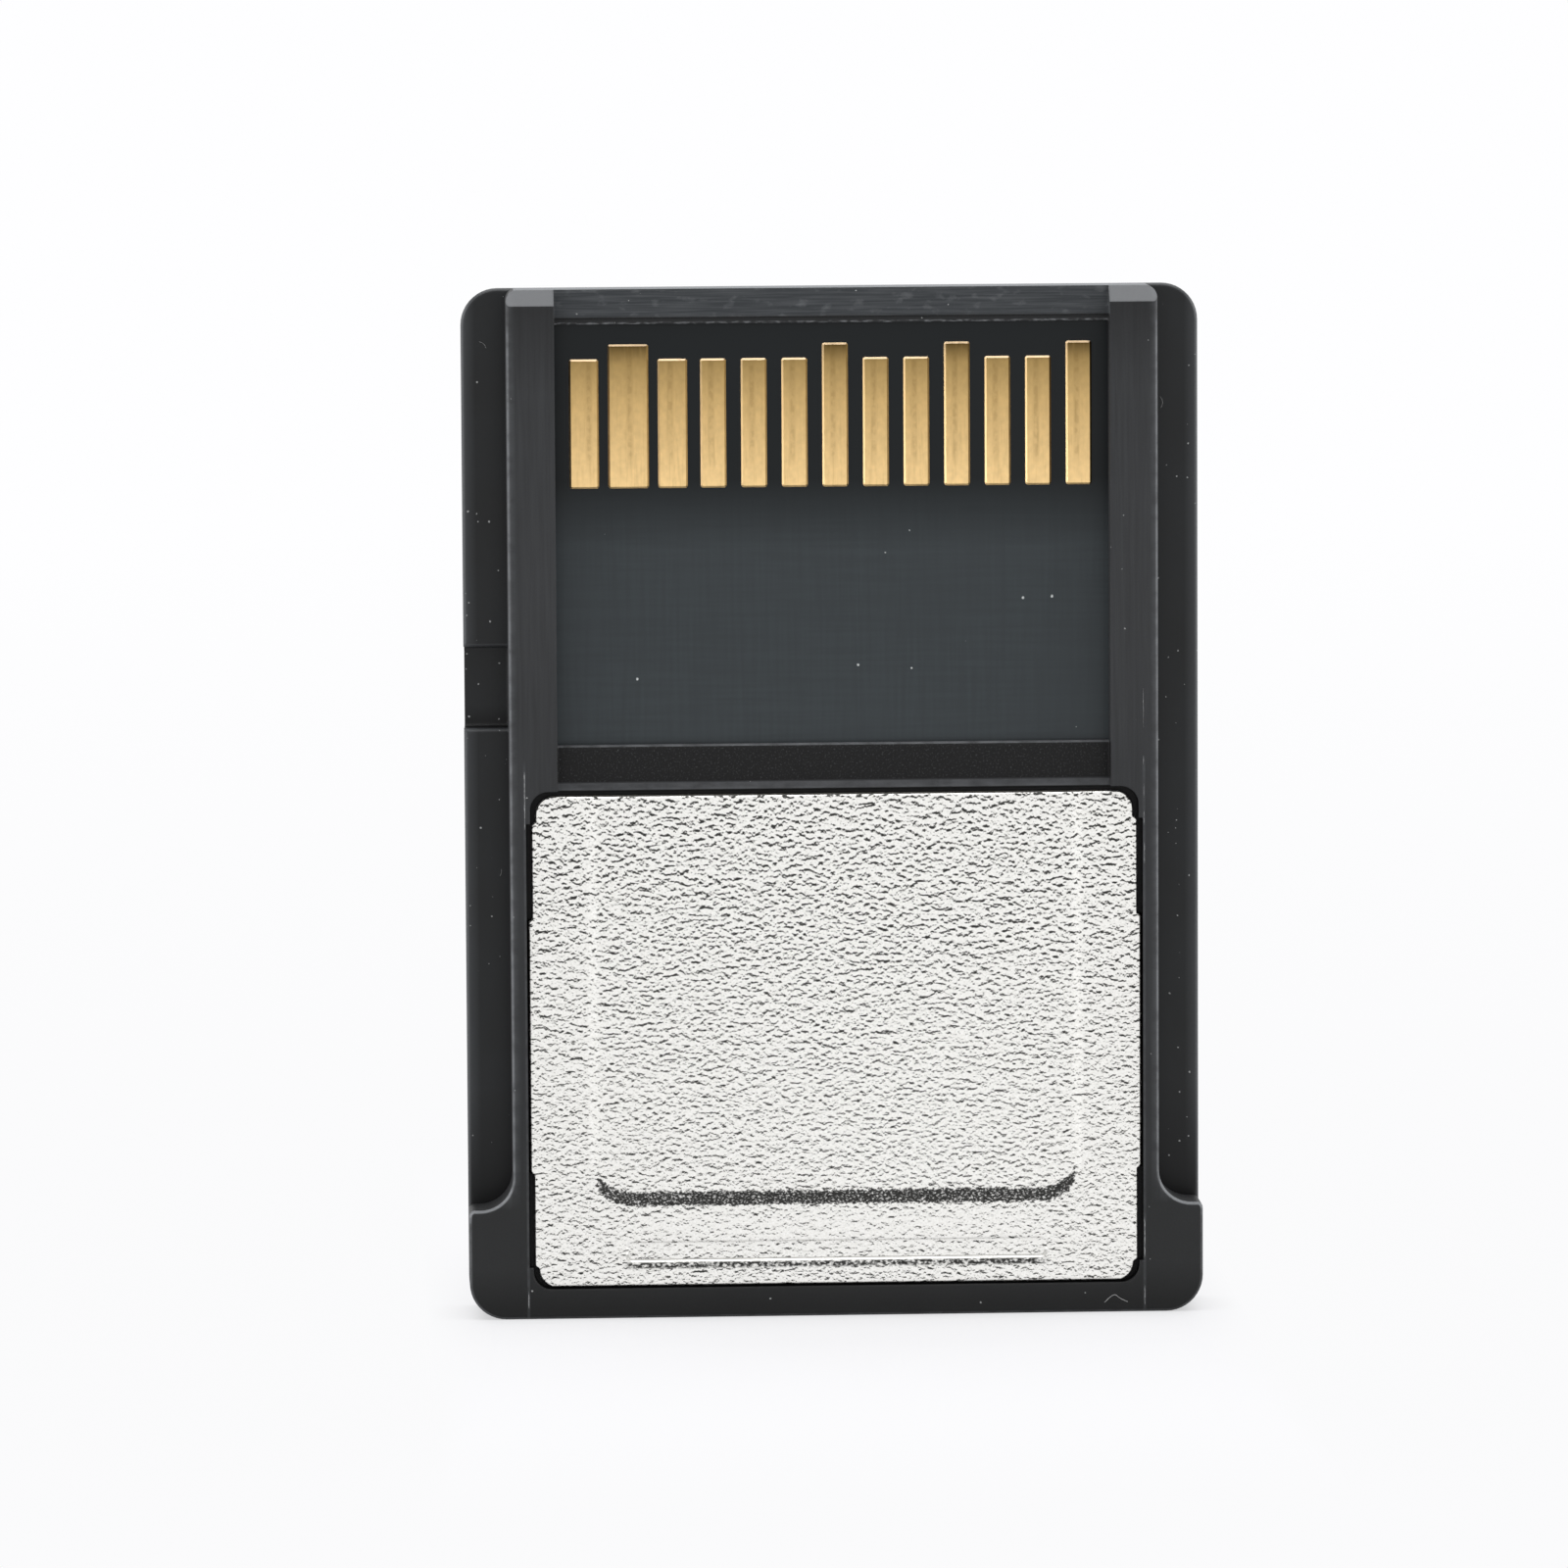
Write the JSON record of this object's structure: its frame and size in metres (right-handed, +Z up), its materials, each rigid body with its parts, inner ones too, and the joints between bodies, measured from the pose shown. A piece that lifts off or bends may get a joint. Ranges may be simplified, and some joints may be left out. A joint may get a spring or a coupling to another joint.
{
  "type": "cfexpress memory card",
  "caption": "Small flat memory card with gold contacts in a recessed window, guide rails, a side lock notch and a textured steel plate.",
  "frame": {"origin": "centre of the footprint of the grip end, on the surface the card stands on", "axes": "+Z up the card towards its contact end, -Y out of the contact face, +X to the right as the contact face is seen"},
  "size_m": [0.02, 0.0028, 0.028],
  "materials": {
    "matte_shell": "matte, finely grained moulding",
    "satin_shell": "satin moulding",
    "textured_steel": "satin, wrinkle-textured nickel plating",
    "film": "satin",
    "solder_mask": "semi-gloss",
    "chip_moulding": "matte",
    "ferrite": "matte",
    "metal_can": "satin",
    "ceramic": "matte",
    "resistor_body": "matte",
    "thermal_rubber": "matte",
    "gold_plating": "satin"
  },
  "bodies": {
    "root": {"contact_side_shell": "matte_shell", "label_side_shell": "satin_shell", "rear_plate": "textured_steel", "adhesive_film": "film", "circuit_board": "solder_mask", "flash_memory_chip": "chip_moulding", "controller_chip": "chip_moulding", "power_chip": "chip_moulding", "power_inductors": "ferrite", "crystal_oscillator": "metal_can", "bulk_capacitors": "ceramic", "small_capacitors": "ceramic", "small_resistors": "resistor_body", "flash_thermal_pad": "thermal_rubber", "controller_thermal_pad": "thermal_rubber", "plate_thermal_pad": "thermal_rubber", "contact_01": "gold_plating", "contact_02": "gold_plating", "contact_03": "gold_plating", "contact_04": "gold_plating", "contact_05": "gold_plating", "contact_06": "gold_plating", "contact_07": "gold_plating", "contact_08": "gold_plating", "contact_09": "gold_plating", "contact_10": "gold_plating", "contact_11": "gold_plating", "contact_12": "gold_plating", "contact_13": "gold_plating"}
  },
  "joints": []
}
